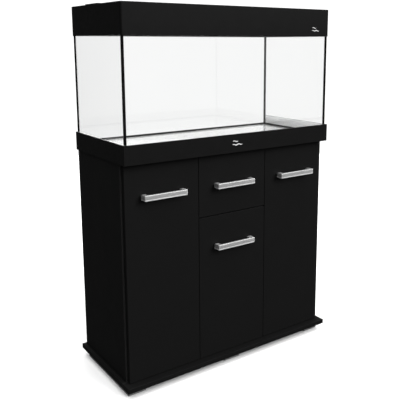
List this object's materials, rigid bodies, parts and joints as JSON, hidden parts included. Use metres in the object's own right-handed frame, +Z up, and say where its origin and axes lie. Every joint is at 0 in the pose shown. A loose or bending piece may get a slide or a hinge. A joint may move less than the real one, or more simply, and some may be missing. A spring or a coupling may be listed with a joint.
{
  "type": "aquarium on stand",
  "caption": "Glass aquarium with a light hood and access flap, standing on a black cabinet with hinged doors, a drawer and bar handles.",
  "frame": {"origin": "on the floor under the middle of the object", "axes": "+Z up; -Y is the front with the doors; +X is to the right for someone facing the doors"},
  "size_m": [0.83, 0.364, 1.2135],
  "materials": {
    "black_board": "satin black faced chipboard",
    "black_plastic": "satin",
    "grey_plastic": "satin",
    "brushed_metal": "brushed along its length",
    "hinge_steel": "nickel plated",
    "runner_steel": "white powder coat",
    "tank_glass": "clear float glass with polished edges",
    "black_silicone": "smooth",
    "grey_foam": "foam tape",
    "white_foam": "closed-cell foam",
    "lamp_aluminium": "anodised",
    "opal_plastic": "opal"
  },
  "bodies": {
    "cabinet": {"plinth_board": "black_board", "foot_rail_left": "grey_plastic", "foot_rail_middle": "grey_plastic", "foot_rail_right": "grey_plastic", "side_panel_left": "black_board", "side_panel_right": "black_board", "divider_left": "black_board", "divider_right": "black_board", "back_panel": "black_board", "shelf_left": "black_board", "shelf_right": "black_board", "drawer_shelf": "black_board", "top_panel": "black_board", "hinge_arm_left_lower": "hinge_steel", "hinge_arm_left_upper": "hinge_steel", "hinge_arm_right_lower": "hinge_steel", "hinge_arm_right_upper": "hinge_steel", "hinge_arm_centre_lower": "hinge_steel", "hinge_arm_centre_upper": "hinge_steel", "cabinet_runner_left": "runner_steel", "cabinet_runner_right": "runner_steel", "glass_front": "tank_glass", "glass_back": "tank_glass", "glass_left": "tank_glass", "glass_right": "tank_glass", "glass_bottom": "tank_glass", "brace_front": "tank_glass", "brace_back": "tank_glass", "silicone_seal": "black_silicone", "tank_trim": "black_plastic", "trim_tape": "grey_foam", "foam_mat": "white_foam"},
    "door_left": {"door_left": "black_board", "handle_left": "brushed_metal", "hinge_cup_left_lower": "hinge_steel", "hinge_cup_left_upper": "hinge_steel"},
    "door_right": {"door_right": "black_board", "handle_right": "brushed_metal", "hinge_cup_right_lower": "hinge_steel", "hinge_cup_right_upper": "hinge_steel"},
    "door_centre": {"door_centre": "black_board", "handle_centre": "brushed_metal", "hinge_cup_centre_lower": "hinge_steel", "hinge_cup_centre_upper": "hinge_steel"},
    "drawer": {"drawer_front": "black_board", "handle_drawer": "brushed_metal", "drawer_side_left": "black_board", "drawer_side_right": "black_board", "drawer_back": "black_board", "drawer_bottom": "black_board", "drawer_runner_left": "runner_steel", "drawer_runner_right": "runner_steel"},
    "hood": {"hood_shell": "black_plastic", "flap_pin_left": "hinge_steel", "flap_pin_right": "hinge_steel", "lamp_channel": "lamp_aluminium", "lamp_cover": "opal_plastic", "lamp_cap_left": "grey_plastic", "lamp_cap_right": "grey_plastic"},
    "flap": {"access_flap": "black_plastic"}
  },
  "joints": [
    {"name": "door_left_hinge", "type": "hinge", "parent": "cabinet", "child": "door_left", "pos_m": [-0.3935, -0.157, 0.3905], "axis": [0, 0, -1], "range_deg": [0, 95]},
    {"name": "door_right_hinge", "type": "hinge", "parent": "cabinet", "child": "door_right", "pos_m": [0.3935, -0.157, 0.3905], "axis": [0, 0, 1], "range_deg": [0, 95]},
    {"name": "door_centre_hinge", "type": "hinge", "parent": "cabinet", "child": "door_centre", "pos_m": [-0.1312, -0.157, 0.287], "axis": [0, 0, -1], "range_deg": [0, 95]},
    {"name": "drawer_slide", "type": "slide", "parent": "cabinet", "child": "drawer", "axis": [0, -1, 0], "range_m": [0, 0.185]},
    {"name": "hood_lift", "type": "slide", "parent": "cabinet", "child": "hood", "axis": [0, 0, 1], "range_m": [0, 0.15]},
    {"name": "flap_hinge", "type": "hinge", "parent": "hood", "child": "flap", "pos_m": [0, 0.134, 1.21075], "axis": [-1, 0, 0], "range_deg": [0, 110]}
  ]
}
